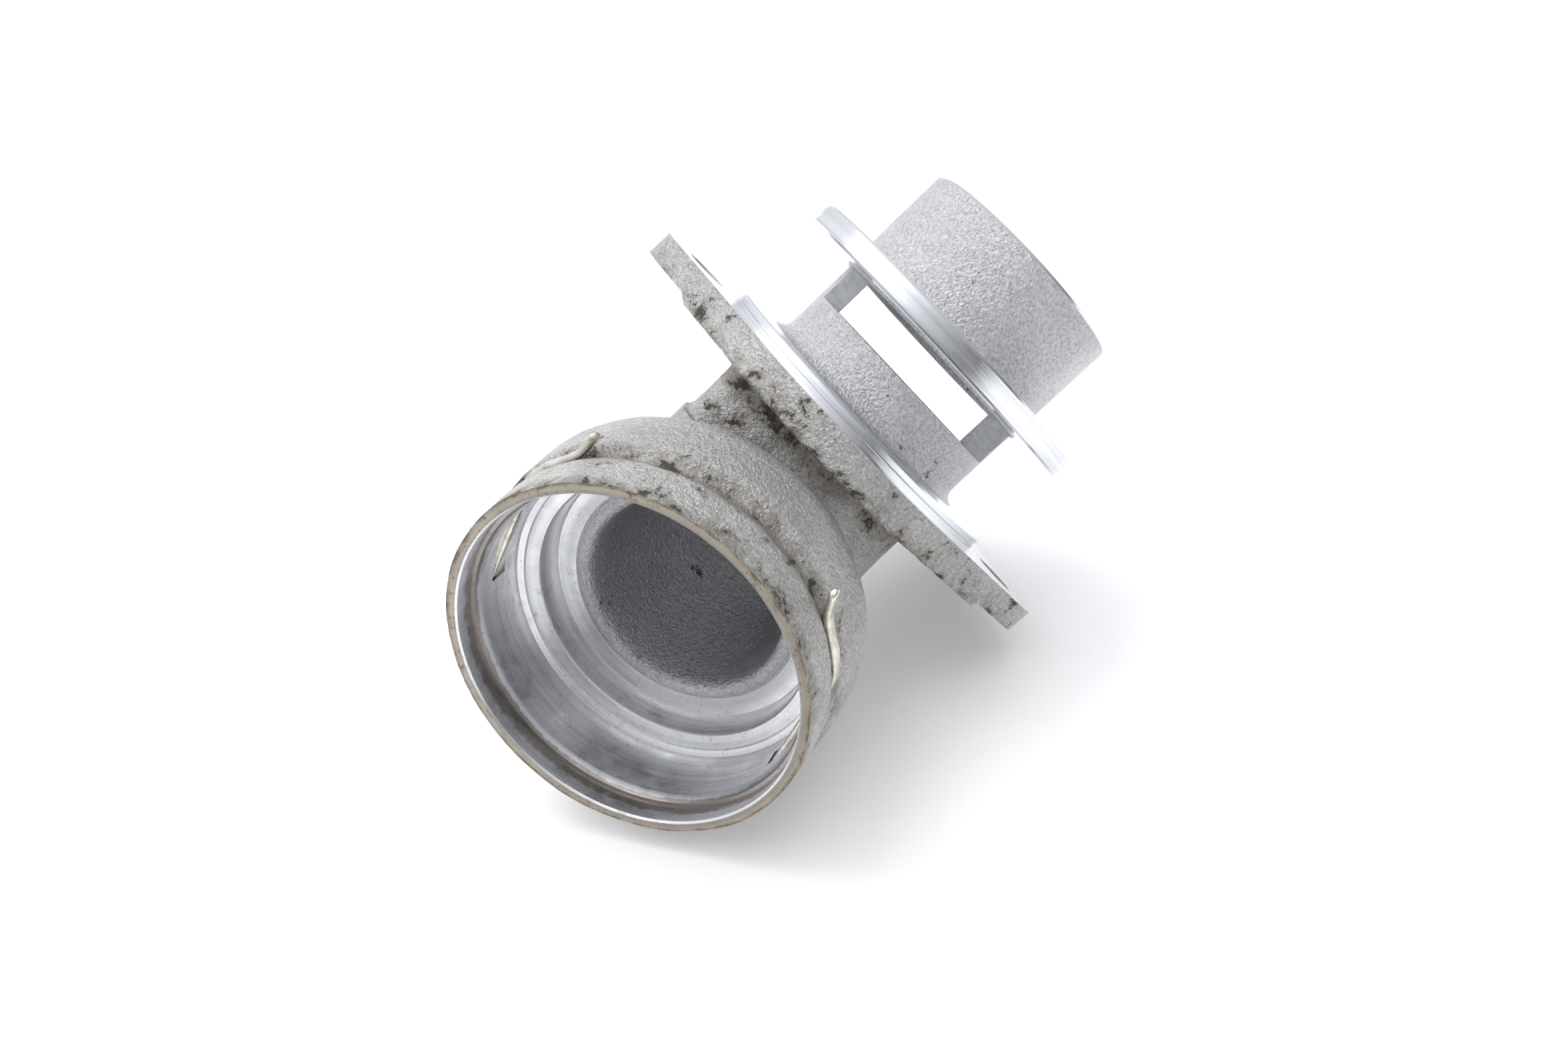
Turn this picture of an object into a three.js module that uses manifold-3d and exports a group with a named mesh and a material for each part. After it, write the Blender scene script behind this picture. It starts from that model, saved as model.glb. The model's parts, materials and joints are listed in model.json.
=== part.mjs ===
// Quick-release pipe elbow: a spring-clip socket, a 64 degree bend, a bolt-on flange plate and a spigot
// whose neck has two wide windows, a round flange and a plain hose end.
// Millimetres, +Z up. The coupling lies as it does on a table: on its rim, its socket wall and one plate corner.
//
// It is drawn in its own frame first: the spigot axis is +Z, z = 0 is the plate's machined face,
// y = 0 is the plane that both pipe axes lie in, and the socket lies on the -X side.

import * as THREE from "three";
import { mergeVertices } from "three/addons/utils/BufferGeometryUtils.js";
import Module from "manifold-3d";

const wasm = await Module();
wasm.setup();

// ---- driving dimensions ----
const GAP = 0.3; // between neighbouring pieces
const ROUND = 64; // sides of a full circle

const BEND_ANGLE = THREE.MathUtils.degToRad(64.3);
const BEND_RADIUS = 34;
const CORNER_Z = -31.7; // where the two pipe axes cross
const RIM_TO_CORNER = 58.7;
const PASSAGE_R = 20.6;
const ELBOW_R = 25.3;

const BORE_R = 33; // socket bore that takes the plug-in pipe
const COUNTERBORE_R = 34.4;
const COUNTERBORE_DEPTH = 4.8;
const SHOULDER_DEPTH = 6.4;
const BAND_DEPTH = 19.5; // where the bore steps down
const INNER_BORE_R = 28.6;
const FLOOR_DEPTH = 27;
const LIP_R = 23.6;
const SOCKET_LENGTH = 37;
const RIM_R = 36.4;
const CHANNEL_START = 10;
const CHANNEL_END = 14.4;
const CHANNEL_R = 35.3;
const RIDGE_R = 38;

const WIRE_THICK = 1.5;
const WIRE_WIDE = 3;
const WIRE_DEPTH = 12.2; // middle of the wire, measured from the rim
const CLIP_TURN = THREE.MathUtils.degToRad(16); // the clip's own axis, turned from the pipe plane
const BOW_R = 36.45;
const LEG_OFFSET = 32.7; // from the socket axis to the middle of a leg
const SLOT_OFFSET = 31.6;
const SLOT_REACH = 26;

const PLATE_THICK = 7.3;
const LUG_THICK = 5.8;
const PLATE_R = 38;
const LUG = { x: 0, y: 45, r: 11, seat: 15 };
const FOOT = { x: 40, y: 32, r: 10 };
const BOLT_HOLE_R = 4.25;
const BOSS_R = 36.4;
const BOSS_HEIGHT = 3.3;

const NECK_R = 24.65;
const WINDOW_START = 14.1;
const WINDOW_END = 22.6;
const POST_WIDTH = 14.4;
const FLANGE_R = 37.2;
const FLANGE_START = 23;
const FLANGE_END = 27.9;
const TUBE_R = 25;
const TUBE_END = 48.3;
const TUBE_EDGE = 0.8; // chamfer on the hose end

// Table normal in the drawing frame, with the coupling at rest.
const TABLE_UP = new THREE.Vector3(-0.405, 0.725, 0.557).normalize();

// ---- finishes ----
const cast = { color: 0x9d9b98, roughness: 0.62, metalness: 0.85 };
const brightCast = { color: 0xb9babd, roughness: 0.5, metalness: 0.9 };
const turned = { color: 0xd0d3d8, roughness: 0.25, metalness: 1.0 };
const springSteel = { color: 0xa9a08c, roughness: 0.38, metalness: 0.9 };

// ---- solids ----
function toSolid(geometry) {
  const bare = geometry.clone();
  bare.deleteAttribute("normal");
  bare.deleteAttribute("uv");
  const merged = mergeVertices(bare, 1e-4);
  const corners = merged.index.array;
  const kept = [];
  for (let i = 0; i < corners.length; i += 3) {
    const [a, b, c] = corners.slice(i, i + 3);
    if (a !== b && b !== c && c !== a) {
      kept.push(a, b, c);
    }
  }
  const build = (triVerts) => new wasm.Manifold(new wasm.Mesh({
    numProp: 3,
    vertProperties: new Float32Array(merged.attributes.position.array),
    triVerts: new Uint32Array(triVerts),
  }));
  const body = build(kept);
  return body.volume() < 0 ? build(kept.reverse()) : body;
}

function toGeometry(body) {
  const mesh = body.getMesh();
  const geometry = new THREE.BufferGeometry();
  geometry.setAttribute("position", new THREE.BufferAttribute(new Float32Array(mesh.vertProperties), 3));
  geometry.setIndex(new THREE.BufferAttribute(new Uint32Array(mesh.triVerts), 1));
  geometry.computeVertexNormals();
  return geometry;
}

// Turns a closed outline of [along, radius] points about Z.
function turnedSolid(outline, sides = ROUND) {
  const points = outline.map(([along, radius]) => new THREE.Vector2(radius, along));
  points.push(points[0].clone());
  return toSolid(new THREE.LatheGeometry(points, sides).rotateX(Math.PI / 2));
}

function ring(inner, outer, start, end) {
  return turnedSolid([[start, inner], [start, outer], [end, outer], [end, inner]]);
}

function rod(radius, start, end, sides = ROUND) {
  return toSolid(new THREE.CylinderGeometry(radius, radius, end - start, sides)
    .rotateX(Math.PI / 2).translate(0, 0, (start + end) / 2));
}

function block(low, high) {
  const size = high.map((v, i) => v - low[i]);
  return toSolid(new THREE.BoxGeometry(...size)
    .translate(...low.map((v, i) => v + size[i] / 2)));
}

// A plate from z = low to z = high with the outline of the hull of some circles {x, y, r}.
function hullPlate(circles, low, high) {
  const points = [];
  for (const { x, y, r } of circles) {
    for (let i = 0; i < 48; i += 1) {
      const angle = (i / 48) * 2 * Math.PI;
      points.push([x + r * Math.cos(angle), y + r * Math.sin(angle)]);
    }
  }
  points.sort((a, b) => a[0] - b[0] || a[1] - b[1]);
  const halfHull = (list) => {
    const hull = [];
    for (const p of list) {
      while (hull.length > 1) {
        const [a, b] = hull.slice(-2);
        if ((b[0] - a[0]) * (p[1] - a[1]) - (b[1] - a[1]) * (p[0] - a[0]) > 1e-6) {
          break;
        }
        hull.pop();
      }
      hull.push(p);
    }
    return hull.slice(0, -1);
  };
  const outline = [...halfHull(points), ...halfHull([...points].reverse())];
  const shape = new THREE.Shape(outline.map(([x, y]) => new THREE.Vector2(x, y)));
  return toSolid(new THREE.ExtrudeGeometry(shape, { depth: high - low, bevelEnabled: false })
    .translate(0, 0, low));
}

// ---- frames of the two axes ----
const spigotDir = new THREE.Vector3(0, 0, 1);
const socketDir = new THREE.Vector3(Math.sin(BEND_ANGLE), 0, Math.cos(BEND_ANGLE)); // into the socket
const corner = new THREE.Vector3(0, 0, CORNER_Z);
const rimCentre = corner.clone().addScaledVector(socketDir, -RIM_TO_CORNER);

// Socket frame: origin at the rim's centre, +Z into the socket, +X across it in the clip's own direction.
const clipX = new THREE.Vector3(-Math.cos(BEND_ANGLE), 0, Math.sin(BEND_ANGLE))
  .applyAxisAngle(socketDir, -CLIP_TURN);
const clipY = new THREE.Vector3().crossVectors(socketDir, clipX);
const socketFrame = new THREE.Matrix4().makeBasis(clipX, clipY, socketDir).setPosition(rimCentre);

// ---- socket ----
function makeSocket() {
  const shell = turnedSolid([
    [0, COUNTERBORE_R],
    [0, RIM_R],
    [CHANNEL_START - 0.6, RIM_R + 0.6],
    [CHANNEL_START, RIM_R + 0.2],
    [CHANNEL_START, CHANNEL_R],
    [CHANNEL_END, CHANNEL_R],
    [CHANNEL_END + 0.6, RIDGE_R - 0.3],
    [CHANNEL_END + 2, RIDGE_R],
    [21, RIDGE_R + 0.3],
    [26, RIDGE_R],
    [29, RIDGE_R - 0.9],
    [32, RIDGE_R - 2.4],
    [34.7, RIDGE_R - 4.4],
    [SOCKET_LENGTH, RIDGE_R - 6.8],
    [SOCKET_LENGTH, PASSAGE_R],
    [FLOOR_DEPTH + 2, PASSAGE_R],
    [FLOOR_DEPTH - 0.4, PASSAGE_R + 0.8],
    [FLOOR_DEPTH - 1, LIP_R - 1.2],
    [FLOOR_DEPTH, LIP_R],
    [FLOOR_DEPTH, INNER_BORE_R],
    [BAND_DEPTH + 0.8, INNER_BORE_R + 0.2],
    [BAND_DEPTH, BORE_R - 1.2],
    [SHOULDER_DEPTH, BORE_R],
    [COUNTERBORE_DEPTH, BORE_R + 0.6],
    [COUNTERBORE_DEPTH, COUNTERBORE_R],
  ]);
  let body = shell;
  for (const side of [-1, 1]) {
    const inner = side * SLOT_OFFSET;
    const outer = side * (RIDGE_R + 6);
    body = body.subtract(block(
      [-SLOT_REACH, Math.min(inner, outer), CHANNEL_START],
      [SLOT_REACH, Math.max(inner, outer), CHANNEL_END],
    ));
  }
  return body;
}

// ---- spring clip ----
// Runs of the wire in the socket's cross-section, as [x, y] points of its middle line.
const BOW_HALF_ANGLE = Math.PI - Math.asin(LEG_OFFSET / BOW_R);
const bowEnd = new THREE.Vector2(BOW_R * Math.cos(BOW_HALF_ANGLE), LEG_OFFSET);

function bowRun() {
  const points = [];
  const steps = 28;
  const from = BOW_HALF_ANGLE + GAP / BOW_R;
  for (let i = 0; i <= steps; i += 1) {
    const angle = from + (i / steps) * 2 * (Math.PI - from);
    points.push([BOW_R * Math.cos(angle), BOW_R * Math.sin(angle)]);
  }
  return points;
}

function legRun(side) {
  const shape = [
    [bowEnd.x + GAP, LEG_OFFSET],
    [-6, LEG_OFFSET],
    [8, LEG_OFFSET],
    [15, 32.9],
    [19.2, 31.2],
    [23, 28.4],
    [26, 26.4],
    [29, 25.4],
    [32, 24.9],
  ];
  return shape.map(([x, y]) => [x, side * y]);
}

class WireLine extends THREE.Curve {
  constructor(points) {
    super();
    this.line = new THREE.CatmullRomCurve3(
      points.map(([x, y]) => new THREE.Vector3(x, y, WIRE_DEPTH)), false, "centripetal");
  }

  getPoint(t, target = new THREE.Vector3()) {
    return this.line.getPoint(t, target);
  }
}

// The wire's flat section swept along a run: a ribbon outline extruded across the wire's width.
function wireSolid(points, steps, roundEnd) {
  const curve = new WireLine(points);
  const left = [];
  const right = [];
  for (let i = 0; i <= steps; i += 1) {
    const middle = curve.getPointAt(i / steps);
    const tangent = curve.getTangentAt(i / steps);
    const across = new THREE.Vector2(-tangent.y, tangent.x).multiplyScalar(WIRE_THICK / 2);
    left.push(new THREE.Vector2(middle.x + across.x, middle.y + across.y));
    right.push(new THREE.Vector2(middle.x - across.x, middle.y - across.y));
  }
  const ribbon = new THREE.Shape([...left, ...right.reverse()]);
  let body = toSolid(new THREE.ExtrudeGeometry(ribbon, { depth: WIRE_WIDE, bevelEnabled: false })
    .translate(0, 0, WIRE_DEPTH - WIRE_WIDE / 2));
  if (roundEnd) {
    const [x, y] = points[points.length - 1];
    const tip = new THREE.CylinderGeometry(WIRE_WIDE / 2, WIRE_WIDE / 2, 40, 24)
      .translate(x - WIRE_WIDE / 2, 0, WIRE_DEPTH);
    const keep = toSolid(tip).translate([0, y, 0])
      .add(block([-60, -60, 0], [x - WIRE_WIDE / 2, 60, 30]));
    body = body.intersect(keep);
  }
  return body;
}

// ---- elbow ----
class BendLine extends THREE.Curve {
  constructor(lead) {
    super();
    this.lead = lead;
    this.arc = BEND_RADIUS * BEND_ANGLE;
    this.reach = BEND_RADIUS * Math.tan(BEND_ANGLE / 2);
  }

  getPoint(t, target = new THREE.Vector3()) {
    const along = t * (this.arc + 2 * this.lead) - this.lead;
    const onArc = THREE.MathUtils.clamp(along, 0, this.arc);
    const angle = onArc / BEND_RADIUS - BEND_ANGLE;
    target.set(
      BEND_RADIUS * (Math.cos(angle) - 1),
      0,
      CORNER_Z + this.reach + BEND_RADIUS * Math.sin(angle),
    );
    const past = along - onArc;
    return target.addScaledVector(past < 0 ? socketDir : spigotDir, past);
  }
}

function pipe(radius, lead) {
  const section = new THREE.Shape();
  section.absarc(0, 0, radius, 0, 2 * Math.PI, false);
  return toSolid(new THREE.ExtrudeGeometry(section, {
    steps: 18,
    curveSegments: ROUND / 4,
    extrudePath: new BendLine(lead),
    bevelEnabled: false,
  }));
}

function makeElbow() {
  const start = SOCKET_LENGTH + GAP;
  const cap = turnedSolid([
    [start, 0],
    [start, RIDGE_R - 7.1],
    [start + 2, RIDGE_R - 9.8],
    [start + 4, ELBOW_R - 1],
    [start + 4, 0],
  ]).transform([...socketFrame.elements]);
  const behindSocket = block([-60, -60, start], [60, 60, 200]).transform([...socketFrame.elements]);
  const belowPlate = block([-60, -60, -120], [60, 60, -PLATE_THICK - GAP]);
  return pipe(ELBOW_R, 12).add(cap)
    .intersect(behindSocket)
    .intersect(belowPlate)
    .subtract(pipe(PASSAGE_R, 16));
}

// ---- flange plate with its register boss ----
function makePlate() {
  const lugs = [-1, 1].map((side) => ({ ...LUG, y: side * LUG.y }));
  const feet = [-1, 1].map((side) => ({ ...FOOT, y: side * FOOT.y }));
  let body = hullPlate([{ x: 0, y: 0, r: PLATE_R }, ...lugs, ...feet], -PLATE_THICK, 0);
  for (const { x, y, seat } of lugs) {
    body = body.subtract(rod(seat, -PLATE_THICK - 1, -LUG_THICK).translate([x, y, 0]));
  }
  for (const { x, y } of [...lugs, ...feet]) {
    body = body.subtract(rod(BOLT_HOLE_R, -PLATE_THICK - 1, 1, 24).translate([x, y, 0]));
  }
  return body.add(rod(BOSS_R, -1, BOSS_HEIGHT)).subtract(rod(PASSAGE_R, -PLATE_THICK - 1, BOSS_HEIGHT + 1));
}

// ---- spigot ----
function makeNeck() {
  const halfPost = POST_WIDTH / 2;
  let body = ring(PASSAGE_R, NECK_R, BOSS_HEIGHT + GAP, FLANGE_START - GAP);
  body = body.subtract(block([halfPost, -NECK_R - 5, WINDOW_START], [60, NECK_R + 5, WINDOW_END]));
  return body.subtract(block([-60, -NECK_R - 5, WINDOW_START], [-halfPost, NECK_R + 5, WINDOW_END]));
}

function makeFlange() {
  const edge = 0.5;
  return turnedSolid([
    [FLANGE_START, PASSAGE_R],
    [FLANGE_START, FLANGE_R - edge],
    [FLANGE_START + edge, FLANGE_R],
    [FLANGE_END - edge, FLANGE_R],
    [FLANGE_END, FLANGE_R - edge],
    [FLANGE_END, PASSAGE_R],
  ]);
}

function makeTube() {
  return turnedSolid([
    [FLANGE_END + GAP, PASSAGE_R],
    [FLANGE_END + GAP, TUBE_R],
    [TUBE_END - TUBE_EDGE, TUBE_R],
    [TUBE_END, TUBE_R - TUBE_EDGE],
    [TUBE_END, PASSAGE_R + TUBE_EDGE / 2],
    [TUBE_END - TUBE_EDGE / 2, PASSAGE_R],
  ]);
}

// ---- assembly ----
const coupling = new THREE.Group();
coupling.name = "coupling";
const socketGroup = new THREE.Group();
socketGroup.applyMatrix4(socketFrame);
coupling.add(socketGroup);

function addNode(parent, name, body, finish) {
  const mesh = new THREE.Mesh(toGeometry(body), new THREE.MeshStandardMaterial(finish));
  mesh.name = name;
  parent.add(mesh);
}

addNode(socketGroup, "socket_housing", makeSocket(), cast);
addNode(socketGroup, "clip_bow", wireSolid(bowRun(), 40, false), springSteel);
addNode(socketGroup, "clip_leg_left", wireSolid(legRun(1), 30, true), springSteel);
addNode(socketGroup, "clip_leg_right", wireSolid(legRun(-1), 30, true), springSteel);
addNode(coupling, "elbow_pipe", makeElbow(), cast);
addNode(coupling, "flange_plate", makePlate(), cast);
addNode(coupling, "windowed_neck", makeNeck(), brightCast);
addNode(coupling, "round_flange", makeFlange(), turned);
addNode(coupling, "hose_tube", makeTube(), brightCast);

// Lay the coupling down: +Z is the table normal, and the socket's mouth faces -Y.
const rest = new THREE.Group();
const restY = socketDir.clone().projectOnPlane(TABLE_UP).normalize();
const restX = new THREE.Vector3().crossVectors(restY, TABLE_UP);
const turn = new THREE.Matrix4().makeBasis(restX, restY, TABLE_UP).invert();
coupling.applyMatrix4(turn);
rest.add(coupling);
rest.updateMatrixWorld(true);
const box = new THREE.Box3().setFromObject(rest, true);
const middle = box.getCenter(new THREE.Vector3());
coupling.position.set(-middle.x, -middle.y, -box.min.z);
rest.updateMatrixWorld(true);

export default rest;
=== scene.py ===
import json
import math

import bmesh
import bpy
import numpy as np
from mathutils import Matrix, Quaternion, Vector, noise


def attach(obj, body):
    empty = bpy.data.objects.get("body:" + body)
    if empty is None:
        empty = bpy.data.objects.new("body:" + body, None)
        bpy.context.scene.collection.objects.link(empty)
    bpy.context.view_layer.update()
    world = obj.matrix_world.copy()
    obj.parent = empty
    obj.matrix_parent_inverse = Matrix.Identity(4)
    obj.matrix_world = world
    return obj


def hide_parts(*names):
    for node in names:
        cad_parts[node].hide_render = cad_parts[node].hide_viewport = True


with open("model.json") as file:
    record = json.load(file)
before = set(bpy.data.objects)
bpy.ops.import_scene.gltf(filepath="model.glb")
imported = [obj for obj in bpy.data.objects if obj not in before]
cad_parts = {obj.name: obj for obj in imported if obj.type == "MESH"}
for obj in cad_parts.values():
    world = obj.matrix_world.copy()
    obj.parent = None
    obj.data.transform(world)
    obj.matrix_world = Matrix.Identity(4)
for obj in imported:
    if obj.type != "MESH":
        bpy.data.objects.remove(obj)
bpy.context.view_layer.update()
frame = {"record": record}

# ---- frames: millimetres in the drawing frame (spigot axis +Z, plate face z = 0) to metres in the row frame ----
mounts = {m["name"]: m for m in frame["record"]["mounts"]}
spigot = Vector(mounts["flange_face"]["axis"]).normalized()
into_socket = -Vector(mounts["socket_rim"]["axis"]).normalized()
side_y = spigot.cross(into_socket).normalized()
side_x = side_y.cross(spigot).normalized()
origin = Vector(mounts["flange_face"]["pos_m"]) - side_x * 0.044
DRAW = Matrix((
    (side_x.x, side_y.x, spigot.x, origin.x * 1000),
    (side_x.y, side_y.y, spigot.y, origin.y * 1000),
    (side_x.z, side_y.z, spigot.z, origin.z * 1000),
    (0, 0, 0, 1),
))
BEND = math.radians(64.3)
BEND_RADIUS = 34.0
CORNER_Z = -31.7  # where the two pipe axes cross
RIM_TO_CORNER = 58.7
TURN = math.radians(16)  # the clip's own axis, turned from the pipe plane
PASSAGE_R = 20.6
ELBOW_R = 25.1
CHANNEL_START, CHANNEL_END = 10.0, 14.3  # the wire's channel, from the rim
SLOT_OFFSET = 31.6
COUNTERBORE_R = 34.4
BORE_R = 33.0
INNER_BORE_R = 28.6
FLOOR_DEPTH = 27.0
BOSS_R = 36.4
NECK_R = 24.65
TUBE_R = 25.0
FLANGE_R = 37.2
TUBE_END = 48.3
WINDOW_START, WINDOW_END = 14.1, 22.6
POST_HALF = 7.2  # half the width of a post beside a window
LUG_SEAT_R = 14.8
BOLT_R = 4.25
CAST_GRAIN_DEPTH = 0.00042  # metres
TURNED_GROOVE_DEPTH = 0.00004
s_dir = Vector((math.sin(BEND), 0, math.cos(BEND)))
clip_x = Quaternion(s_dir, -TURN) @ Vector((-math.cos(BEND), 0, math.sin(BEND)))
clip_y = s_dir.cross(clip_x)
rim = Vector((0, 0, CORNER_Z)) - s_dir * RIM_TO_CORNER
SOCKET = Matrix((
    (clip_x.x, clip_y.x, s_dir.x, rim.x),
    (clip_x.y, clip_y.y, s_dir.y, rim.y),
    (clip_x.z, clip_y.z, s_dir.z, rim.z),
    (0, 0, 0, 1),
))
ID = Matrix.Identity(4)


# ---- mesh helpers, all in millimetres of the drawing frame until place() ----
def new_object(name, verts, faces):
    mesh = bpy.data.meshes.new(name)
    mesh.from_pydata([tuple(v) for v in verts], [], faces)
    mesh.update()
    obj = bpy.data.objects.new(name, mesh)
    bpy.context.scene.collection.objects.link(obj)
    return obj


def lathe(profile, matrix=ID, sides=128, wobble=0.0):
    """Closed solid from [along, radius] points; the ends sit on the axis or the profile closes on itself."""
    closed = profile[0][1] > 0
    verts, rows = [], []
    for along, radius in profile:
        if radius <= 0:
            rows.append([len(verts)])
            verts.append(matrix @ Vector((0, 0, along)))
        else:
            row = []
            for i in range(sides):
                a = 2 * math.pi * i / sides
                r = radius
                if wobble:
                    r += wobble * noise.noise(Vector((math.cos(a) * 9, math.sin(a) * 9, along * 0.3)))
                row.append(len(verts))
                verts.append(matrix @ Vector((r * math.cos(a), r * math.sin(a), along)))
            rows.append(row)
    pairs = list(zip(rows, rows[1:]))
    if closed:
        pairs.append((rows[-1], rows[0]))
    faces = []
    for a, b in pairs:
        for i in range(sides):
            j = (i + 1) % sides
            if len(a) == 1 and len(b) == 1:
                continue
            if len(a) == 1:
                faces.append((a[0], b[j], b[i]))
            elif len(b) == 1:
                faces.append((a[i], a[j], b[0]))
            else:
                faces.append((a[i], a[j], b[j], b[i]))
    return fix(new_object("tmp", verts, faces))


def fix(obj):
    """Turns the faces of a closed solid outward."""
    bm = bmesh.new()
    bm.from_mesh(obj.data)
    bmesh.ops.recalc_face_normals(bm, faces=bm.faces)
    if bm.calc_volume(signed=True) < 0:
        bmesh.ops.reverse_faces(bm, faces=bm.faces)
    bm.to_mesh(obj.data)
    bm.free()
    return obj


def block(low, high, matrix=ID):
    c = [(x, y, z) for x in (low[0], high[0]) for y in (low[1], high[1]) for z in (low[2], high[2])]
    faces = [(0, 1, 3, 2), (4, 6, 7, 5), (0, 4, 5, 1), (2, 3, 7, 6), (0, 2, 6, 4), (1, 5, 7, 3)]
    return fix(new_object("tmp", [matrix @ Vector(p) for p in c], faces))


def prism(outline, low, high):
    """An outline in x and y, drawn up from z = low to z = high."""
    n = len(outline)
    verts = [Vector((x, y, low)) for x, y in outline] + [Vector((x, y, high)) for x, y in outline]
    faces = [tuple(range(n)), tuple(range(2 * n - 1, n - 1, -1))]
    faces += [(i, (i + 1) % n, n + (i + 1) % n, n + i) for i in range(n)]
    return fix(new_object("tmp", verts, faces))


def sweep(path, section):
    """path: list of (point, across, up); section: list of (a, b)."""
    verts = [p + a * u + b * v for p, u, v in path for a, b in section]
    m = len(section)
    faces = []
    for k in range(len(path) - 1):
        for i in range(m):
            j = (i + 1) % m
            faces.append((k * m + i, k * m + j, (k + 1) * m + j, (k + 1) * m + i))
    faces.append(tuple(range(m)))
    faces.append(tuple((len(path) - 1) * m + i for i in range(m)))
    return fix(new_object("tmp", verts, faces))


def bend_path(lead_socket, lead_spigot, steps=40):
    reach = BEND_RADIUS * math.tan(BEND / 2)
    out = []
    total = BEND_RADIUS * BEND
    stops = [-lead_socket] + [total * i / steps for i in range(steps + 1)] + [total + lead_spigot]
    for along in stops:
        on = min(max(along, 0), total)
        a = on / BEND_RADIUS - BEND
        p = Vector((BEND_RADIUS * (math.cos(a) - 1), 0, CORNER_Z + reach + BEND_RADIUS * math.sin(a)))
        tangent = Vector((-math.sin(a), 0, math.cos(a)))
        p += tangent * (along - on)
        out.append((p, Vector((math.cos(a), 0, math.sin(a))), Vector((0, 1, 0))))
    return out


def circle(radius, sides=96):
    return [(radius * math.cos(2 * math.pi * i / sides), radius * math.sin(2 * math.pi * i / sides))
            for i in range(sides)]


def bake(obj):
    dg = bpy.context.evaluated_depsgraph_get()
    mesh = bpy.data.meshes.new_from_object(obj.evaluated_get(dg))
    old = obj.data
    obj.modifiers.clear()
    obj.data = mesh
    bpy.data.meshes.remove(old)
    return obj


def boolean(target, other, operation):
    mod = target.modifiers.new("cut", "BOOLEAN")
    mod.operation = operation
    mod.object = other
    mod.solver = "MANIFOLD"
    before = len(target.data.polygons)
    bake(target)
    if len(target.data.polygons) < 10:
        raise RuntimeError(f"a {operation} left nothing of {before} faces")
    bpy.data.objects.remove(other)
    return target


def hull(circles):
    """Outline around circles given as (x, y, radius)."""
    turns = [2 * math.pi * i / 96 for i in range(96)]
    pts = sorted({(round(x + r * math.cos(t), 5), round(y + r * math.sin(t), 5))
                  for x, y, r in circles for t in turns})

    def half(seq):
        out = []
        for p in seq:
            while len(out) > 1 and ((out[-1][0] - out[-2][0]) * (p[1] - out[-2][1])
                                    - (out[-1][1] - out[-2][1]) * (p[0] - out[-2][0])) <= 1e-6:
                out.pop()
            out.append(p)
        return out[:-1]

    return half(pts) + half(pts[::-1])


# ---- the casting's rough skin ----
LUGS = [(0, 45), (0, -45)]
FEET = [(40, 32), (40, -32)]
rough = [
    lathe([(-1.5, 0), (-1.5, 36.5), (0, 36.5), (4, 36.7), (8.6, 37.0), (9.8, 36.9), (10.8, 36.0), (12.4, 35.65),
           (13.6, 35.9), (14.6, 37.0), (15.8, 37.8), (21, 38.0), (26, 37.9), (29, 37.0), (32, 35.5), (34.7, 33.5),
           (37, 31.1), (39, 28.4), (42, 25.4), (42, 0)],
          SOCKET, 128),
    sweep(bend_path(26, 6), circle(ELBOW_R)),
    prism(hull([(0, 0, 38)] + [(x, y, 11) for x, y in LUGS] + [(x, y, 10) for x, y in FEET]), -7.3, 0.8),
    prism(hull([(2, 0, 24.6), (-19.6, 21.7, 4.6), (-20.2, 11.5, 4.6)]), -23.5, -7),
    prism(hull([(2, 2, 24.6), (-21.0, 22.4, 4.8), (-14, 23.2, 4.4)]), -25.5, -20.5),
    prism(hull([(2, 0, 24.0), (-19.5, -7, 6.5), (-20.5, -2.5, 6)]), -15, -7),
]
bpy.ops.object.select_all(action="DESELECT")
for part in rough:
    part.select_set(True)
bpy.context.view_layer.objects.active = rough[0]
bpy.ops.object.join()
casting = rough[0]
casting.name = "casting"
remesh = casting.modifiers.new("skin", "REMESH")
remesh.mode = "VOXEL"
remesh.voxel_size = 0.5
remesh.use_smooth_shade = True
smooth = casting.modifiers.new("soft", "SMOOTH")
smooth.factor = 0.5
smooth.iterations = 9
bake(casting)
skin_count = len(casting.data.vertices)
co = np.empty(skin_count * 3, np.float32)
casting.data.vertices.foreach_get("co", co)
nor = np.empty(skin_count * 3, np.float32)
casting.data.vertices.foreach_get("normal", nor)
co = co.reshape(-1, 3)
nor = nor.reshape(-1, 3)
amount = np.array([
    0.18 * noise.noise(Vector(p) * 0.11) + 0.07 * noise.noise(Vector(p) * 0.5)
    + 0.05 * noise.noise(Vector(p) * 1.3 + Vector((7, 3, 1)))
    - 0.25 * max(0.0, noise.noise(Vector(p) * 0.42 + Vector((31, 5, 9))) - 0.50)
    for p in co.tolist()], np.float32)
below_plate = np.exp(-((co[:, 2] + 7.3) / 1.3) ** 2) * (np.hypot(co[:, 0], co[:, 1]) > 33)
bites = np.array([max(0.0, noise.noise(Vector(p) * 0.30 + Vector((3, 8, 2))) - 0.05)
                  for p in co.tolist()], np.float32)
amount -= 1.3 * bites * below_plate
casting.data.vertices.foreach_set("co", (co + nor * amount[:, None]).ravel())
casting.data.update()

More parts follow.
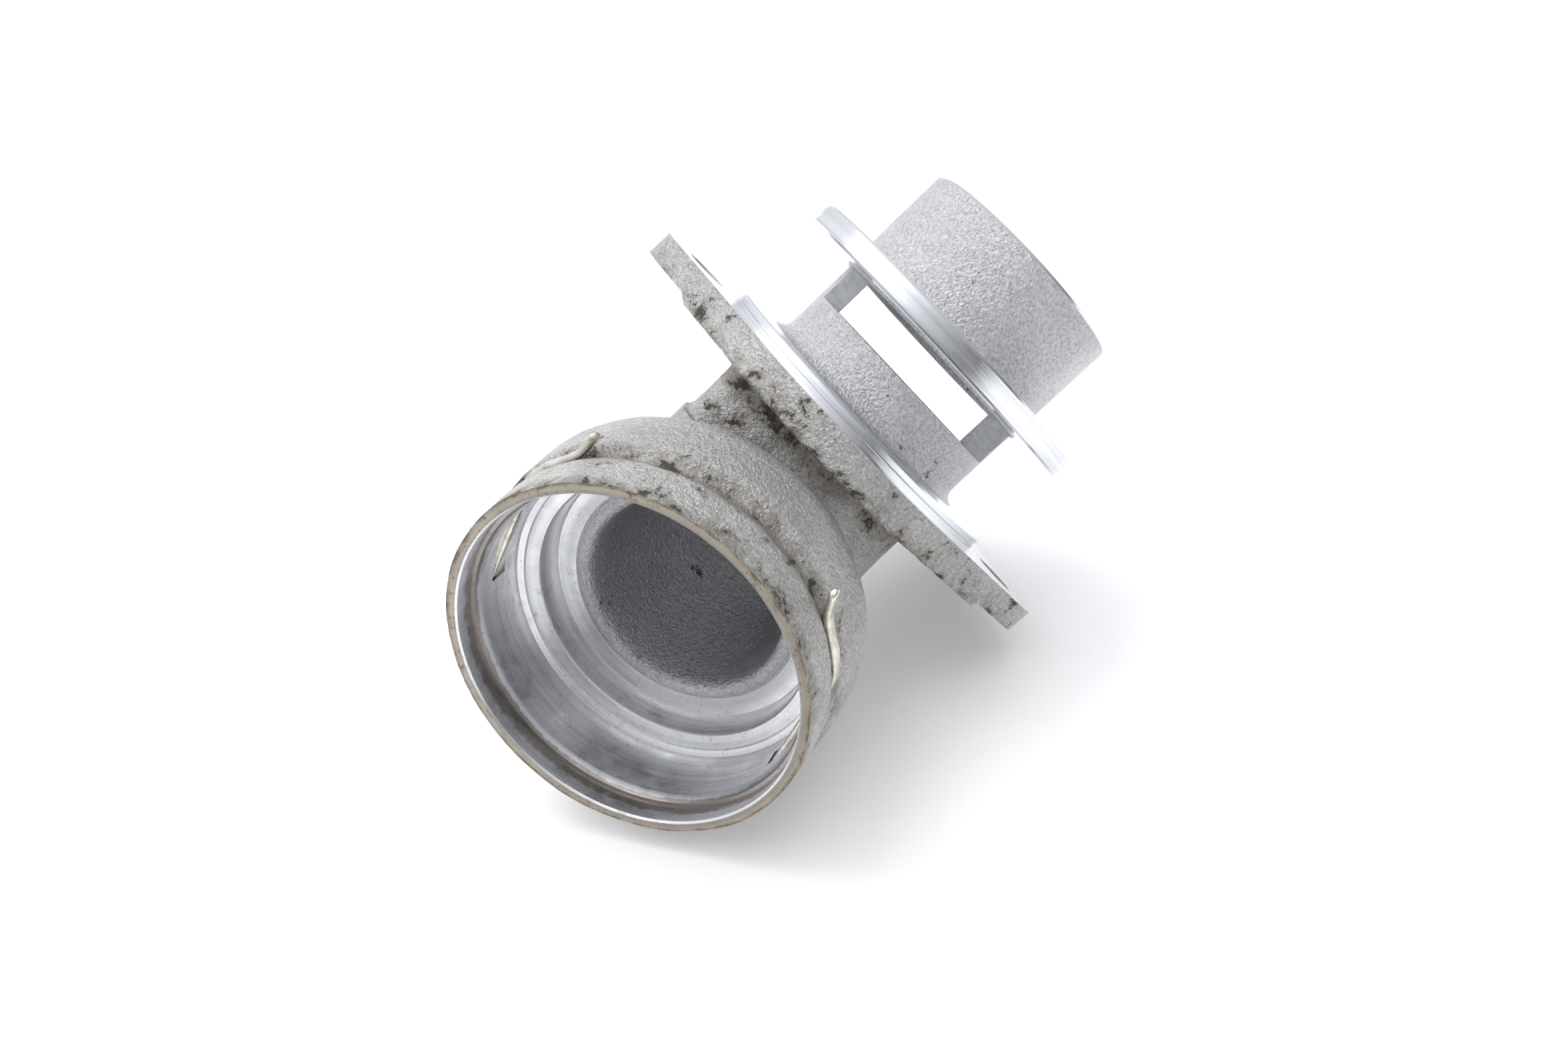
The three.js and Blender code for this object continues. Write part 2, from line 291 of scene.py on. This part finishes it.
# ---- machined and cast-on parts ----
boolean(casting, lathe([(-6, 30), (-6, 60), (0, 60), (0, 30)], SOCKET, 96), "DIFFERENCE")
boolean(casting, lathe([(0, 36.35), (0.15, 36.2), (6, 36.2), (6, 120), (0, 120)], ID, 192), "DIFFERENCE")
for x, y in LUGS:
    boolean(casting, lathe([(-12, 0), (-12, LUG_SEAT_R), (-6.2, LUG_SEAT_R), (-5.8, 14.4), (-5.8, 0)],
                           Matrix.Translation((x, y, 0)), 96), "DIFFERENCE")
boss = lathe([(-3, 0), (-3, BOSS_R), (1.45, BOSS_R), (1.65, 36.15), (1.85, BOSS_R), (2.9, BOSS_R),
              (3.3, 36.0), (3.3, 0)], ID, 192)
boolean(casting, boss, "UNION")
spigot_profile = [(1, 0), (1, 27.2), (3.3, 27.0), (3.75, 25.9), (4.6, 25.0), (5.6, 24.7)]
spigot_profile += [(5.6 + 16.6 * i / 24, NECK_R) for i in range(1, 25)]
spigot_profile += [(22.6, 25.3), (23.0, 25.5), (23.0, 36.6), (23.45, FLANGE_R), (27.4, FLANGE_R), (27.9, 36.7),
                   (27.9, 26.4), (28.3, 25.4), (28.9, 25.05)]
spigot_profile += [(28.9 + 18.3 * i / 26, TUBE_R) for i in range(1, 27)]
spigot_profile += [(47.7, 24.95), (TUBE_END, 24.3), (TUBE_END, 0)]
boolean(casting, lathe(spigot_profile, ID, 192, wobble=0.05), "UNION")
bore = [(-5, 0), (-5, 34.75), (0, 34.75), (0.35, COUNTERBORE_R), (4.8, COUNTERBORE_R), (4.9, 33.7), (6.3, 33.05),
        (7.0, BORE_R), (18.9, BORE_R), (19.3, 32.2), (19.5, 31.9), (20.0, 31.7), (20.4, 29.0), (20.9, 28.7),
        (26.3, INNER_BORE_R), (26.9, 28.3), (FLOOR_DEPTH, 27.9), (FLOOR_DEPTH, 24.3), (26.7, 23.7), (26.2, 23.1),
        (26.0, 22.4), (26.2, 21.6), (26.8, 21.0), (27.8, 20.7), (29, PASSAGE_R), (30, PASSAGE_R), (30, 0)]
boolean(casting, lathe(bore, SOCKET, 192), "DIFFERENCE")
boolean(casting, sweep(bend_path(9.5, 62), circle(PASSAGE_R, 128)), "DIFFERENCE")
cutter = lathe([(CHANNEL_START, 35.4), (CHANNEL_START, 60), (CHANNEL_END, 60), (CHANNEL_END, 35.4)], SOCKET, 128)
boolean(cutter, block((-90, -90, 0), (-9, 90, 30), SOCKET), "INTERSECT")
boolean(casting, cutter, "DIFFERENCE")
for side in (-1, 1):
    near, far = sorted((side * SLOT_OFFSET, side * 46))
    boolean(casting, block((-26, near, CHANNEL_START), (21, far, CHANNEL_END), SOCKET), "DIFFERENCE")
relief = SOCKET @ Matrix.Translation((-19.6, 39.8, 0))
boolean(casting, lathe([(-2, 0), (-2, 6.4), (7.5, 4.2), (7.5, 0)], relief, 48), "DIFFERENCE")
for low, high in (((POST_HALF, -30, WINDOW_START), (60, 30, WINDOW_END)),
                  ((-60, -30, WINDOW_START), (-POST_HALF, 30, WINDOW_END))):
    boolean(casting, block(low, high), "DIFFERENCE")
for x, y in LUGS + FEET:
    boolean(casting, lathe([(-12, 0), (-12, BOLT_R), (-0.5, BOLT_R), (0, 4.75), (3, 4.75), (3, 0)],
                           Matrix.Translation((x, y, 0)), 64), "DIFFERENCE")

# ---- attributes: position on each turning axis, and where dirt and painted shade gather ----
mesh = casting.data
vertex_count = len(mesh.vertices)
co = np.empty(vertex_count * 3, np.float32)
mesh.vertices.foreach_get("co", co)
co = co.reshape(-1, 3).astype(float)


def in_socket(p):
    q = p - np.array(rim)
    return q @ np.array(clip_x), q @ np.array(clip_y), q @ np.array(s_dir)


def measures(p):
    u, v, s = in_socket(p)
    return np.hypot(u, v), s, np.arctan2(v, u), np.hypot(p[:, 0], p[:, 1]), p[:, 2], np.arctan2(p[:, 1], p[:, 0])


r, s, a, rho, z, b = measures(co)
near_socket = (s < 28) & (r < 42) & (z < -12)
turn = np.where(near_socket[:, None], np.stack([r, s, a * 6], 1), np.stack([rho, z, b * 6], 1))
attr = mesh.attributes.new("turn", "FLOAT_VECTOR", "POINT")
attr.data.foreach_set("vector", turn.astype(np.float32).ravel())


def bump_at(x, centre, width):
    return np.exp(-((x - centre) / width) ** 2)


soiling_and_shade = np.zeros(vertex_count)
on_plate = (z > -8.2) & (z < 0.6) & (rho > 36.6)
soiling_and_shade = np.where(on_plate & (z < -0.1), 0.24 + 0.26 * bump_at(z, -7.0, 2.6), soiling_and_shade)
soiling_and_shade = np.maximum(soiling_and_shade, np.where(s < 14, 0.75 * bump_at(s, 0.5, 3.0) * (r > 35.2), 0))
soiling_and_shade = np.maximum(soiling_and_shade, 0.8 * bump_at(s, 12.2, 3.2) * (r > 34.6) * near_socket)
# painted shade: darker just under the plate, where the elbow and ribs meet it
soiling_and_shade = np.maximum(soiling_and_shade, 0.75 * bump_at(z, -9.0, 4.0) * (rho > 22) * (rho < 40))
pad = bump_at(co[:, 0], -22, 9) * bump_at(co[:, 1], 14, 14) * bump_at(z, -16, 9)
soiling_and_shade = np.maximum(soiling_and_shade, 0.55 * pad)
# painted shadow: a strong dark patch on the socket's outside around the channel
painted_shadow = bump_at(a, math.radians(-86), 0.30) * bump_at(s, 13, 9) * near_socket * (r > 34.5)
soiling_and_shade = np.maximum(soiling_and_shade, 2.0 * painted_shadow)
# painted shade: a dark line in the counterbore's inner corner
soiling_and_shade = np.maximum(soiling_and_shade, 1.5 * bump_at(s, 4.9, 0.7) * (r > 32.9) * (r < 34.9) * near_socket)
band_dirt = bump_at(a, math.radians(120), 0.7) * bump_at(s, 19.8, 1.3)
soiling_and_shade = np.maximum(soiling_and_shade, 0.5 * band_dirt * (r > 28.4) * (r < 33.2) * near_socket)
# real dirt and stains (plate edge, rim, channel, pad, bore step) plus painted shade (under the plate, the socket
# patch, the counterbore corner)
attr = mesh.attributes.new("dirt_and_shade", "FLOAT", "POINT")
attr.data.foreach_set("value", soiling_and_shade.astype(np.float32))

face_count = len(mesh.polygons)
centre = np.empty(face_count * 3, np.float32)
mesh.polygons.foreach_get("center", centre)
centre = centre.reshape(-1, 3).astype(float)
r, s, a, rho, z, b = measures(centre)
CAST, BRIGHT, TURNED, RIM, BORE = range(5)
kind = np.full(face_count, CAST)
spigot_side = z > 3.31
line = np.array([tuple(p) for p, _, _ in bend_path(9.0, 62, 48)])
samples = np.concatenate([np.linspace(p, q, 12) for p, q in zip(line, line[1:])])[::3]
inside = np.zeros(face_count, bool)
for part in np.array_split(np.arange(face_count), 60):
    gap = centre[part][:, None, :] - samples[None]
    inside[part] = np.sqrt((gap ** 2).sum(2).min(1)) < 21.6
lip = (s > 26.0) & (s < 31) & (r < 24.3) & (z < -12)
kind[spigot_side | inside | lip] = BRIGHT
kind[(z > -0.06) & (z <= 3.36) & (rho > 26.5)] = TURNED
kind[(z > 22.9) & (z < 27.95) & (rho > 25.6)] = TURNED
kind[(z > 47.9)] = TURNED
window = (z > 14.0) & (z < 22.7) & (rho > 20.5) & (rho < 25.6)
post_side = np.abs(np.abs(centre[:, 0]) - POST_HALF) < 0.04
sill = np.abs(z - WINDOW_START) < 0.04
head = (np.abs(z - WINDOW_END) < 0.04) & (rho < 25.2)
kind[window & (post_side | sill | head)] = TURNED
kind[(np.abs(s) < 0.06) & (r > 33.5) & (r < 38)] = RIM
kind[(s > -0.5) & (s < 26.95) & (r < 34.9) & (r > 24.0) & (z < -12)] = BORE
kind[(s > 26.8) & (s < 27.1) & (r > 24.2) & (r < 28.7)] = BORE
mesh.materials.clear()


# ---- materials ----
class Nodes:
    def __init__(self, name):
        self.mat = bpy.data.materials.new(name)
        self.mat.use_nodes = True
        self.tree = self.mat.node_tree
        self.tree.nodes.clear()
        self.out = self.add("ShaderNodeOutputMaterial")
        self.bsdf = self.add("ShaderNodeBsdfPrincipled")
        self.tree.links.new(self.bsdf.outputs["BSDF"], self.out.inputs["Surface"])
        coords = self.add("ShaderNodeTexCoord")
        scale = self.add("ShaderNodeVectorMath")
        scale.operation = "SCALE"
        scale.inputs["Scale"].default_value = 1000.0
        self.link(coords.outputs["Object"], scale.inputs[0])
        self.mm = scale.outputs[0]

    def add(self, kind):
        return self.tree.nodes.new(kind)

    def link(self, a, b):
        self.tree.links.new(a, b)

    def attribute(self, name, output):
        node = self.add("ShaderNodeAttribute")
        node.attribute_name = name
        return node.outputs[output]

    def noise(self, scale, detail=3.0, rough=0.55, vector=None, distort=0.0):
        node = self.add("ShaderNodeTexNoise")
        node.inputs["Scale"].default_value = scale
        node.inputs["Detail"].default_value = detail
        node.inputs["Roughness"].default_value = rough
        node.inputs["Distortion"].default_value = distort
        self.link(vector or self.mm, node.inputs["Vector"])
        return node.outputs["Fac"]

    def ramp(self, value, low, high, out_low=0.0, out_high=1.0):
        node = self.add("ShaderNodeMapRange")
        node.interpolation_type = "SMOOTHSTEP"
        node.inputs["From Min"].default_value = low
        node.inputs["From Max"].default_value = high
        node.inputs["To Min"].default_value = out_low
        node.inputs["To Max"].default_value = out_high
        self.link(value, node.inputs["Value"])
        return node.outputs["Result"]

    def math(self, operation, a, b=None, clamp=False):
        node = self.add("ShaderNodeMath")
        node.operation = operation
        node.use_clamp = clamp
        for i, value in enumerate((a, b)):
            if value is None:
                continue
            if isinstance(value, (int, float)):
                node.inputs[i].default_value = value
            else:
                self.link(value, node.inputs[i])
        return node.outputs[0]

    def mix(self, factor, a, b):
        node = self.add("ShaderNodeMix")
        node.data_type = "RGBA"
        self.link(factor, node.inputs["Factor"])
        for socket, value in ((node.inputs[6], a), (node.inputs[7], b)):
            if isinstance(value, tuple):
                socket.default_value = (*value, 1.0)
            else:
                self.link(value, socket)
        return node.outputs[2]

    def bump(self, height, distance):
        node = self.add("ShaderNodeBump")
        node.inputs["Distance"].default_value = distance
        node.inputs["Strength"].default_value = 1.0
        self.link(height, node.inputs["Height"])
        return node.outputs[0]

    def finish(self, color, rough, normal=None, metallic=1.0):
        self.link(color, self.bsdf.inputs["Base Color"])
        self.link(rough, self.bsdf.inputs["Roughness"])
        self.bsdf.inputs["Metallic"].default_value = metallic
        if normal is not None:
            self.link(normal, self.bsdf.inputs["Normal"])
        return self.mat

    def stretched(self, x, y, z):
        node = self.add("ShaderNodeVectorMath")
        node.operation = "MULTIPLY"
        self.link(self.attribute("turn", "Vector"), node.inputs[0])
        node.inputs[1].default_value = (x, y, z)
        return node.outputs[0]


def cast_material(name, light, dark, stain_and_shade_amount, grain, rough):
    k = Nodes(name)
    fine = k.noise(1.7, 3, 0.68)
    coarse = k.noise(0.8, 3, 0.6)
    patch = k.noise(0.07, 5, 0.6, distort=0.5)
    spots = k.noise(0.23, 9, 0.74, distort=0.3)
    broad = k.noise(0.055, 3, 0.5)
    pits = k.noise(0.8, 2, 0.5)
    base = k.mix(k.ramp(patch, 0.35, 0.65), dark, light)
    base = k.mix(k.ramp(fine, 0.48, 0.66, 0.0, 0.42), base, tuple(min(1.0, c * 1.45) for c in light))
    base = k.mix(k.ramp(fine, 0.50, 0.34, 0.0, 0.45), base, tuple(c * 0.55 for c in dark))
    # the map darkens and browns the skin: real dirt and stains plus painted shade and shadow
    dirt_and_shade = k.attribute("dirt_and_shade", "Fac")
    level = k.math("ADD", k.math("MULTIPLY", dirt_and_shade, 0.13 * stain_and_shade_amount), spots)
    level = k.math("ADD", level, k.math("MULTIPLY", k.math("SUBTRACT", broad, 0.5), 0.22))
    stain_and_shade = k.ramp(level, 0.635, 0.69)
    speck = k.ramp(k.math("ADD", pits, k.math("MULTIPLY", dirt_and_shade, 0.035)), 0.735, 0.775)
    brown = k.ramp(k.math("ADD", k.math("MULTIPLY", dirt_and_shade, 0.35), spots), 0.56, 0.78, 0.0, 0.7 * stain_and_shade_amount)
    base = k.mix(brown, base, (0.27, 0.245, 0.215))
    base = k.mix(k.math("MULTIPLY", stain_and_shade, 0.8), base, (0.06, 0.055, 0.05))
    base = k.mix(k.math("MULTIPLY", speck, 0.75), base, (0.04, 0.037, 0.035))
    height = k.math("ADD", k.math("MULTIPLY", fine, grain), k.math("MULTIPLY", coarse, grain * 0.8))
    height = k.math("SUBTRACT", height, k.math("MULTIPLY", speck, 0.5))
    height = k.math("SUBTRACT", height, k.math("MULTIPLY", stain_and_shade, 0.3))
    roughness = k.math("ADD", k.ramp(coarse, 0.3, 0.7, rough - 0.06, rough + 0.08),
                       k.math("MULTIPLY", stain_and_shade, 0.3), True)
    return k.finish(base, roughness, k.bump(height, CAST_GRAIN_DEPTH), 0.92)


def turned_material(name, light, dark, rough, rust_and_shade, lines=1.0):
    k = Nodes(name)
    streak = k.noise(1.0, 4, 0.6, vector=k.stretched(7.0, 7.0, 0.12))
    band = k.noise(1.0, 2, 0.5, vector=k.stretched(0.7, 0.9, 0.05))
    scratch = k.noise(1.0, 2, 0.5, vector=k.stretched(2.0, 2.0, 3.5))
    cloud = k.noise(0.25, 3, 0.6)
    base = k.mix(k.ramp(band, 0.3, 0.7), dark, light)
    base = k.mix(k.ramp(streak, 0.35, 0.65, 0.0, 0.25 * lines + 0.08), base,
                 tuple(min(1.0, c * 1.12) for c in light))
    tarnish = k.ramp(k.math("ADD", k.noise(0.35, 5, 0.7, distort=0.8), k.noise(1.7, 2)), 1.08, 1.30, 0.0, rust_and_shade)
    base = k.mix(tarnish, base, (0.28, 0.21, 0.15))
    # dark brown from the map: real deposit plus painted shade in the counterbore corner
    deposit_and_shade = k.ramp(k.math("MULTIPLY", k.attribute("dirt_and_shade", "Fac"), k.noise(0.3, 6, 0.7)),
                     0.22, 0.5, 0.0, rust_and_shade * 2.2)
    base = k.mix(deposit_and_shade, base, (0.19, 0.145, 0.105))
    roughness = k.math("ADD", k.ramp(cloud, 0.3, 0.7, rough * 0.75, rough * 1.35),
                       k.math("ADD", k.ramp(streak, 0.3, 0.7, 0.0, 0.10), k.math("MULTIPLY", tarnish, 0.4)), True)
    height = k.math("ADD", k.math("MULTIPLY", streak, 0.7 * lines), k.math("MULTIPLY", scratch, 0.12))
    return k.finish(base, roughness, k.bump(height, TURNED_GROOVE_DEPTH))


cast = cast_material("cast_grey", (0.56, 0.553, 0.54), (0.45, 0.443, 0.43), 1.0, 1.3, 0.42)
bright = cast_material("cast_bright", (0.60, 0.60, 0.615), (0.53, 0.53, 0.545), 0.12, 1.3, 0.38)
turned = turned_material("turned_face", (0.84, 0.85, 0.88), (0.66, 0.68, 0.72), 0.13, 0.05)
rim_face = turned_material("turned_rim", (0.38, 0.35, 0.305), (0.23, 0.205, 0.175), 0.36, 0.8)
bore_face = turned_material("turned_bore", (0.86, 0.865, 0.885), (0.68, 0.685, 0.71), 0.28, 0.3, 0.6)
for mat in (cast, bright, turned, rim_face, bore_face):
    mesh.materials.append(mat)
mesh.polygons.foreach_set("material_index", kind.astype(np.int32))
mesh.polygons.foreach_set("use_smooth", np.ones(face_count, bool))
mesh.set_sharp_from_angle(angle=math.radians(32))

TO_ROW = Matrix.Scale(0.001, 4) @ DRAW


def place(obj, body):
    obj.data.transform(TO_ROW)
    obj.data.update()
    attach(obj, body)
    return obj


place(casting, "casting")
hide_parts("socket_housing", "elbow_pipe", "flange_plate", "windowed_neck", "round_flange", "hose_tube")

# ---- spring wire ----
LEG_OFFSET = 32.7
BOW_R = 36.45
DEPTH = 12.2
HALF = math.pi - math.asin(LEG_OFFSET / BOW_R)
bow_x = BOW_R * math.cos(HALF)


def spline(points, steps):
    pts = [Vector((x, y, 0)) for x, y in points]
    ext = [2 * pts[0] - pts[1]] + pts + [2 * pts[-1] - pts[-2]]
    out = []
    for i in range(1, len(ext) - 2):
        for k in range(steps):
            t = k / steps
            p0, p1, p2, p3 = ext[i - 1:i + 3]
            out.append(0.5 * ((2 * p1) + (p2 - p0) * t + (2 * p0 - 5 * p1 + 4 * p2 - p3) * t * t
                              + (3 * p1 - p0 - 3 * p2 + p3) * t ** 3))
    return out + [pts[-1]]


def wire(name, points, steps, taper_end):
    line = spline(points, steps)
    section = []
    for i in range(24):
        t = 2 * math.pi * i / 24
        c, d = math.cos(t), math.sin(t)
        section.append((0.75 * math.copysign(abs(c) ** 0.55, c), 1.5 * math.copysign(abs(d) ** 0.55, d)))
    verts, faces, count = [], [], len(section)
    lengths = [0.0]
    for p, q in zip(line, line[1:]):
        lengths.append(lengths[-1] + (q - p).length)
    for k, p in enumerate(line):
        ahead = line[min(k + 1, len(line) - 1)] - line[max(k - 1, 0)]
        across = Vector((-ahead.y, ahead.x, 0)).normalized()
        left = lengths[-1] - lengths[k]
        wide = math.sqrt(max(0.02, 1 - max(0.0, 1 - left / 1.5) ** 2)) if taper_end else 1.0
        thin = math.sqrt(max(0.06, 1 - max(0.0, 1 - left / 0.6) ** 2)) if taper_end else 1.0
        for t, w in section:
            q = Vector((p.x, p.y, DEPTH)) + across * t * thin + Vector((0, 0, w * wide))
            verts.append(SOCKET @ q)
    for k in range(len(line) - 1):
        for i in range(count):
            j = (i + 1) % count
            faces.append((k * count + i, k * count + j, (k + 1) * count + j, (k + 1) * count + i))
    faces.append(tuple(range(count)))
    faces.append(tuple((len(line) - 1) * count + i for i in range(count)))
    obj = fix(new_object(name, verts, faces))
    obj.data.polygons.foreach_set("use_smooth", np.ones(len(obj.data.polygons), bool))
    obj.data.set_sharp_from_angle(angle=math.radians(50))
    obj.data.materials.append(wire_mat)
    return obj


k = Nodes("spring_wire")
drawn = k.noise(3.0, 3, 0.6)
tone = k.noise(0.35, 4, 0.6)
wire_color = k.mix(k.ramp(tone, 0.35, 0.65), (0.58, 0.54, 0.46), (0.80, 0.77, 0.70))
wire_color = k.mix(k.ramp(k.noise(1.1, 4, 0.7), 0.62, 0.72, 0.0, 0.7), wire_color, (0.10, 0.085, 0.07))
wire_mat = k.finish(wire_color, k.ramp(drawn, 0.3, 0.7, 0.24, 0.42), k.bump(drawn, TURNED_GROOVE_DEPTH))

start = HALF + 0.3 / BOW_R
bow_points = []
for i in range(29):
    angle = start + (i / 28) * 2 * (math.pi - start)
    bow_points.append((BOW_R * math.cos(angle), BOW_R * math.sin(angle)))
leg_points = [(bow_x + 0.3, LEG_OFFSET), (-6, LEG_OFFSET), (8, LEG_OFFSET), (15, 32.9), (19.2, 31.2), (23, 28.4),
              (26, 26.4), (29, 25.4), (32, 24.9)]
bow = place(wire("wire_bow", bow_points, 4, False), "casting")
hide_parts("clip_bow")
left = place(wire("wire_leg_left", leg_points, 8, True), "leg_left")
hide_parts("clip_leg_left")
right = place(wire("wire_leg_right", [(x, -y) for x, y in leg_points], 8, True), "leg_right")
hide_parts("clip_leg_right")

# ---- floor, light, camera ----
floor = new_object("floor", [(-8, -8, 0), (8, -8, 0), (8, 8, 0), (-8, 8, 0)], [(0, 1, 2, 3)])
k = Nodes("floor_white")
k.finish(k.mix(k.noise(0.01, 2), (0.93, 0.93, 0.935), (0.95, 0.95, 0.955)), k.ramp(k.noise(0.05, 2), 0, 1, 0.55, 0.65),
         None, 0.0)
k.bsdf.inputs["Specular IOR Level"].default_value = 0.15
k.bsdf.inputs["Emission Color"].default_value = (1, 1, 1, 1)
k.bsdf.inputs["Emission Strength"].default_value = 0.16
floor.data.materials.append(k.mat)

cam_data = bpy.data.cameras.new("camera")
cam = bpy.data.objects.new("camera", cam_data)
bpy.context.scene.collection.objects.link(cam)
CAMERA_AT = Vector((-265.1, 16.2, 15.4))
CAMERA_LOOK = Vector((0.985, -0.08, -0.152)).normalized()
CAMERA_UP = Vector((0.163, 0.719, 0.676))
FOCAL_MM = 28.316326530612244
back = -(DRAW.to_3x3() @ CAMERA_LOOK).normalized()
up = DRAW.to_3x3() @ CAMERA_UP
cam_x = up.cross(back).normalized()
cam_y = back.cross(cam_x)
cam_pos = TO_ROW @ CAMERA_AT
cam.matrix_world = Matrix((
    (cam_x.x, cam_y.x, back.x, cam_pos.x),
    (cam_x.y, cam_y.y, back.y, cam_pos.y),
    (cam_x.z, cam_y.z, back.z, cam_pos.z),
    (0, 0, 0, 1),
))
cam_data.sensor_width = 36.0
cam_data.sensor_fit = "HORIZONTAL"
cam_data.lens = FOCAL_MM
cam_data.clip_start = 0.005
cam_data.clip_end = 50
bpy.context.scene.camera = cam
flat_look = Vector((-back.x, -back.y, 0)).normalized()
flat_right = Vector((cam_x.x, cam_x.y, 0)).normalized()


def area_light(name, toward, height, size, power):
    data = bpy.data.lights.new(name, "AREA")
    data.shape = "RECTANGLE"
    data.size, data.size_y = size
    data.energy = power
    lamp = bpy.data.objects.new(name, data)
    bpy.context.scene.collection.objects.link(lamp)
    spot = flat_look * toward[0] + flat_right * toward[1]
    lamp.location = (spot.x, spot.y, height)
    lamp.rotation_mode = "QUATERNION"
    lamp.rotation_quaternion = (Vector((0, 0, 0.04)) - lamp.location).to_track_quat("-Z", "Y")
    return lamp


area_light("softbox", (0.25, -0.35), 1.2, (0.7, 0.7), 4.6)
sun_data = bpy.data.lights.new("overhead", "SUN")
sun_data.energy = 0.80
sun_data.angle = math.radians(75)
sun = bpy.data.objects.new("overhead", sun_data)
bpy.context.scene.collection.objects.link(sun)
sun.rotation_mode = "QUATERNION"
sun_from = Vector((0, 0, 1)) + flat_look * 0.06 - flat_right * 0.08
sun.rotation_quaternion = (-sun_from).to_track_quat("-Z", "Y")
world = bpy.data.worlds.new("studio")
world.use_nodes = True
tree = world.node_tree
bg = tree.nodes["Background"]
coords = tree.nodes.new("ShaderNodeTexCoord")
dot = tree.nodes.new("ShaderNodeVectorMath")
dot.operation = "DOT_PRODUCT"
toward = (Vector((0, 0, 0.8)) + flat_look * 0.35 - flat_right * 0.45).normalized()
dot.inputs[1].default_value = toward
tree.links.new(coords.outputs["Generated"], dot.inputs[0])
shade = tree.nodes.new("ShaderNodeMapRange")
shade.interpolation_type = "SMOOTHSTEP"
shade.inputs["From Min"].default_value = -0.7
shade.inputs["From Max"].default_value = 0.9
shade.inputs["To Min"].default_value = 0.10
shade.inputs["To Max"].default_value = 0.98
tree.links.new(dot.outputs["Value"], shade.inputs["Value"])
seen = tree.nodes.new("ShaderNodeLightPath")
pick = tree.nodes.new("ShaderNodeMix")
pick.data_type = "FLOAT"
tree.links.new(seen.outputs["Is Camera Ray"], pick.inputs["Factor"])
tree.links.new(shade.outputs["Result"], pick.inputs["A"])
pick.inputs["B"].default_value = 0.97
tree.links.new(pick.outputs["Result"], bg.inputs["Strength"])
bg.inputs["Color"].default_value = (0.96, 0.97, 1.0, 1)
bpy.context.scene.world = world
bpy.context.scene.view_settings.view_transform = "Standard"
